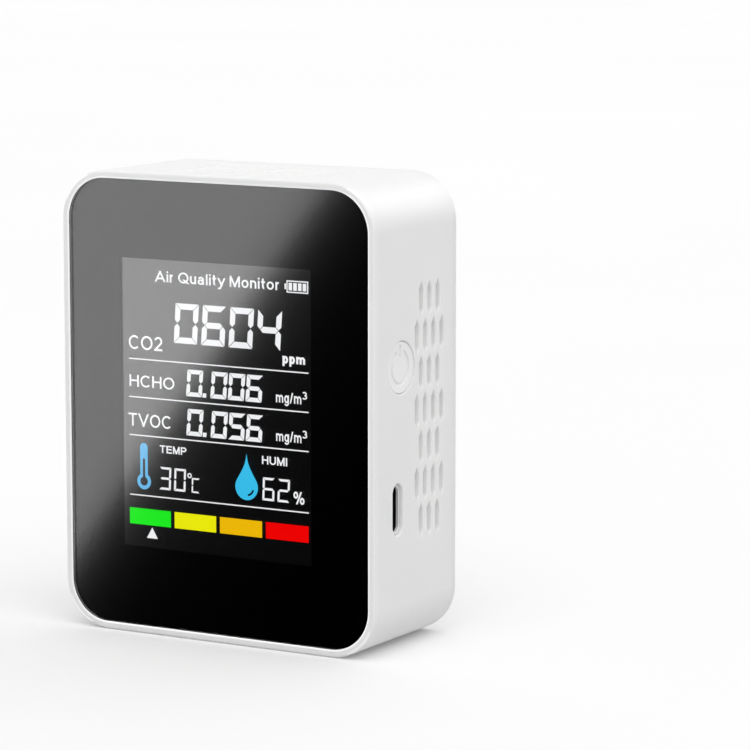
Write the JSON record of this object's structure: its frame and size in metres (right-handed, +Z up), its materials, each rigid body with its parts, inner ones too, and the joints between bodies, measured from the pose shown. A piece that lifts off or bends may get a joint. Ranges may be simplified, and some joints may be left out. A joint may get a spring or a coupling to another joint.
{
  "type": "carbon dioxide monitor",
  "caption": "Palm-sized upright air quality monitor with a flush display front, staggered vents, side power button, USB-C port and rear keyholes for hanging.",
  "frame": {"origin": "centre of the base on the surface it stands on, midway between its front and back", "axes": "+Z up; the display faces -Y; +X is the side with the power button and the USB-C port"},
  "size_m": [0.0662, 0.0296, 0.085],
  "materials": {
    "white_plastic": "satin",
    "button_plastic": "satin",
    "clear_panel": "gloss",
    "black_print": "gloss",
    "foam_tape": "matt",
    "polarizer_film": "gloss",
    "display_glass": "gloss",
    "printed_film": "satin",
    "light_guide": "gloss",
    "white_film": "satin",
    "ivory_plastic": "satin",
    "frame_plastic": "satin",
    "contact_rubber": "matt",
    "circuit_board": "satin",
    "zinc_steel": "satin",
    "black_plastic": "satin",
    "tan_plastic": "satin",
    "tinned_metal": "satin",
    "steel_sheet": "satin",
    "steel_mesh": "matt",
    "gold_contacts": "gloss",
    "gold_plated": "satin",
    "chip_epoxy": "matt",
    "ferrite": "matt",
    "ceramic_parts": "satin",
    "filter_membrane": "matt",
    "lamp_glass": "gloss",
    "battery_foil": "satin",
    "red_insulation": "satin",
    "black_insulation": "satin",
    "magnet_steel": "satin",
    "diaphragm_film": "satin",
    "silver_label": "satin"
  },
  "bodies": {
    "case": {"housing": "white_plastic", "vent_screens": "filter_membrane", "back_cover": "white_plastic", "front_panel": "clear_panel", "panel_mask": "black_print", "panel_adhesive": "foam_tape", "lcd_front_polarizer": "polarizer_film", "lcd_front_glass": "display_glass", "lcd_rear_glass": "display_glass", "lcd_rear_polarizer": "polarizer_film", "colour_film": "printed_film", "backlight_guide": "light_guide", "backlight_reflector": "white_film", "backlight_leds": "ivory_plastic", "lcd_frame": "frame_plastic", "lcd_contact_strip": "contact_rubber", "main_board": "circuit_board", "board_screws": "zinc_steel", "switch_body": "black_plastic", "switch_terminals": "tinned_metal", "usb_shell": "steel_sheet", "usb_tongue": "black_plastic", "usb_contacts": "gold_contacts", "controller_chip": "chip_epoxy", "controller_legs": "tinned_metal", "power_chips": "chip_epoxy", "power_inductor": "ferrite", "small_components": "ceramic_parts", "humidity_sensor": "chip_epoxy", "gas_sensor_base": "black_plastic", "gas_sensor_can": "steel_sheet", "gas_sensor_mesh": "steel_mesh", "co2_board": "circuit_board", "co2_header": "black_plastic", "co2_pins": "gold_contacts", "co2_chamber": "gold_plated", "co2_filters": "filter_membrane", "co2_lamp": "lamp_glass", "co2_detector": "steel_sheet", "battery_cell": "battery_foil", "battery_pad": "foam_tape", "battery_protection_board": "circuit_board", "battery_header": "ivory_plastic", "battery_plug": "frame_plastic", "battery_red_lead": "red_insulation", "battery_black_lead": "black_insulation", "speaker_frame": "black_plastic", "speaker_magnet": "magnet_steel", "speaker_diaphragm": "diaphragm_film", "speaker_gasket": "foam_tape", "speaker_header": "ivory_plastic", "speaker_plug": "frame_plastic", "speaker_red_lead": "red_insulation", "speaker_black_lead": "black_insulation", "rear_label": "silver_label"},
    "button": {"power_button": "button_plastic"},
    "plunger": {"switch_plunger": "tan_plastic"}
  },
  "joints": [
    {"name": "button_press", "type": "slide", "parent": "case", "child": "button", "axis": [-1, 0, 0], "range_m": [0, 0.0004], "stiffness_N_per_m": 1600},
    {"name": "plunger_press", "type": "slide", "parent": "case", "child": "plunger", "axis": [-1, 0, 0], "range_m": [0, 0.0004]}
  ],
  "couplings": [
    {"joint": "plunger_press", "follows": "button_press", "ratio": 1}
  ]
}
